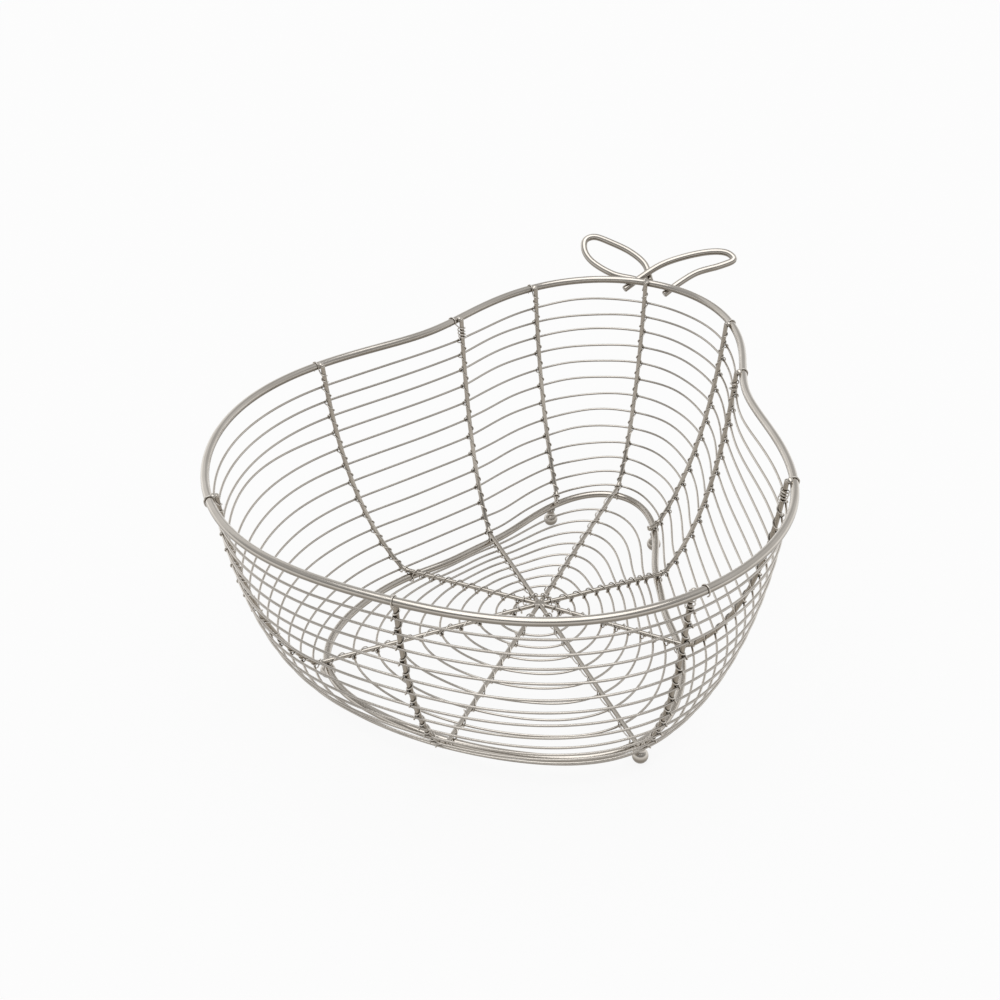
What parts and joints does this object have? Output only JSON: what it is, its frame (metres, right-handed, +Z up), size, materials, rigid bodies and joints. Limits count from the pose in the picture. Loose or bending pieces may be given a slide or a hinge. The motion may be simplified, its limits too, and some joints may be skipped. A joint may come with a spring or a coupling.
{
  "type": "wire fruit basket",
  "caption": "Pear-shaped open wire fruit basket with ribs and thin rings tied to a thick rim and a base ring, leaf loops at the stem and small ball feet.",
  "frame": {"origin": "on the surface that the feet stand on, under the middle of the basket's box", "axes": "+Z up, +Y along the pear towards the stem and the leaves, +X to the right seen from the front"},
  "size_m": [0.278, 0.3688, 0.1495],
  "materials": {
    "thick_nickel": "satin nickel plating on thick bent wire",
    "rib_nickel": "satin nickel plating on rib wire",
    "ring_nickel": "satin nickel plating on thin wire",
    "binding_nickel": "satin nickel plating on very thin binding wire, dulled at the turns"
  },
  "bodies": {
    "root": {"rim_ring": "thick_nickel", "base_ring": "thick_nickel", "foot_stem_left": "thick_nickel", "foot_stem_right": "thick_nickel", "foot_front_right": "thick_nickel", "foot_front_left": "thick_nickel", "rib_left_waist_to_right_belly": "rib_nickel", "rib_left_belly": "rib_nickel", "rib_left_flank": "rib_nickel", "rib_left_neck": "rib_nickel", "rib_stem": "rib_nickel", "rib_right_neck": "rib_nickel", "rib_right_waist": "rib_nickel", "rib_right_flank": "rib_nickel", "rib_front": "rib_nickel", "wall_ring_1": "ring_nickel", "wall_ring_2": "ring_nickel", "wall_ring_3": "ring_nickel", "wall_ring_4": "ring_nickel", "wall_ring_5": "ring_nickel", "wall_ring_6": "ring_nickel", "wall_ring_7": "ring_nickel", "wall_ring_8": "ring_nickel", "wall_ring_9": "ring_nickel", "wall_ring_10": "ring_nickel", "wall_ring_11": "ring_nickel", "wall_ring_12": "ring_nickel", "wall_ring_13": "ring_nickel", "floor_ring_1": "ring_nickel", "floor_ring_2": "ring_nickel", "floor_ring_3": "ring_nickel", "floor_ring_4": "ring_nickel", "floor_ring_5": "ring_nickel", "floor_ring_6": "ring_nickel", "floor_ring_7": "ring_nickel", "floor_ring_8": "ring_nickel", "floor_ring_9": "ring_nickel", "binding_left_belly": "binding_nickel", "binding_left_flank": "binding_nickel", "binding_left_waist": "binding_nickel", "binding_left_neck": "binding_nickel", "binding_stem": "binding_nickel", "binding_right_neck": "binding_nickel", "binding_right_waist": "binding_nickel", "binding_right_flank": "binding_nickel", "binding_right_belly": "binding_nickel", "binding_front": "binding_nickel", "leaf_right": "thick_nickel", "leaf_left": "thick_nickel"}
  },
  "joints": []
}
